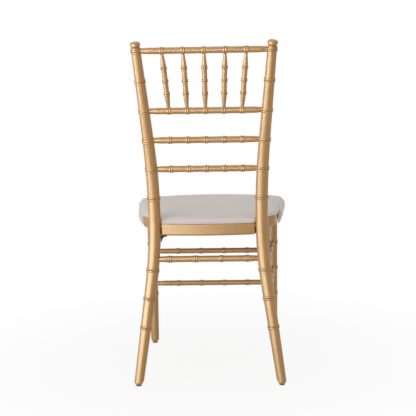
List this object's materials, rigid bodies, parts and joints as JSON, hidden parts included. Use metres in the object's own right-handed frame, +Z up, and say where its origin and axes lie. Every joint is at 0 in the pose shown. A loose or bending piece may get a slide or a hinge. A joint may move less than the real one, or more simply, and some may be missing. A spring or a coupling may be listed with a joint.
{
  "type": "dining chair",
  "caption": "Gold-painted turned wooden dining chair with ringed bent back posts, a fanned spindle back and a thin white seat pad.",
  "frame": {"origin": "on the floor, in the middle of the chair's box", "axes": "+Z up, -Y the way the sitter faces, +X to the sitter's left"},
  "size_m": [0.4154, 0.49, 0.9125],
  "materials": {
    "gold_wood": "satin gold metallic paint on turned hardwood",
    "bare_wood": "bare hardwood and plywood",
    "pad_fabric": "plain woven off-white cover over foam",
    "black_steel": "black painted sheet steel",
    "screw_steel": "zinc plated steel",
    "glide_nylon": "dark brown moulded nylon"
  },
  "bodies": {
    "root": {"back_foot_glide_left": "glide_nylon", "back_foot_glide_right": "glide_nylon", "back_post_left": "gold_wood", "back_post_right": "gold_wood", "back_stretcher": "gold_wood", "brace_screws": "screw_steel", "corner_block_screws": "screw_steel", "corner_brace": "black_steel", "crest_rail": "gold_wood", "front_foot_glide_left": "glide_nylon", "front_foot_glide_right": "glide_nylon", "front_leg_left": "gold_wood", "front_leg_right": "gold_wood", "lower_back_rail": "gold_wood", "lower_front_stretcher": "gold_wood", "lower_side_stretcher_left": "gold_wood", "lower_side_stretcher_right": "gold_wood", "middle_back_rail": "gold_wood", "rear_corner_block_left": "bare_wood", "rear_corner_block_right": "bare_wood", "seat_back_rail": "gold_wood", "seat_board": "bare_wood", "seat_board_screws": "screw_steel", "seat_front_rail": "gold_wood", "seat_pad": "pad_fabric", "seat_side_rail_left": "gold_wood", "seat_side_rail_right": "gold_wood", "spindle_1": "gold_wood", "spindle_2": "gold_wood", "spindle_3": "gold_wood", "spindle_4": "gold_wood", "spindle_5": "gold_wood", "spindle_rail": "gold_wood", "upper_front_stretcher": "gold_wood", "upper_side_stretcher_left": "gold_wood", "upper_side_stretcher_right": "gold_wood"}
  },
  "joints": []
}
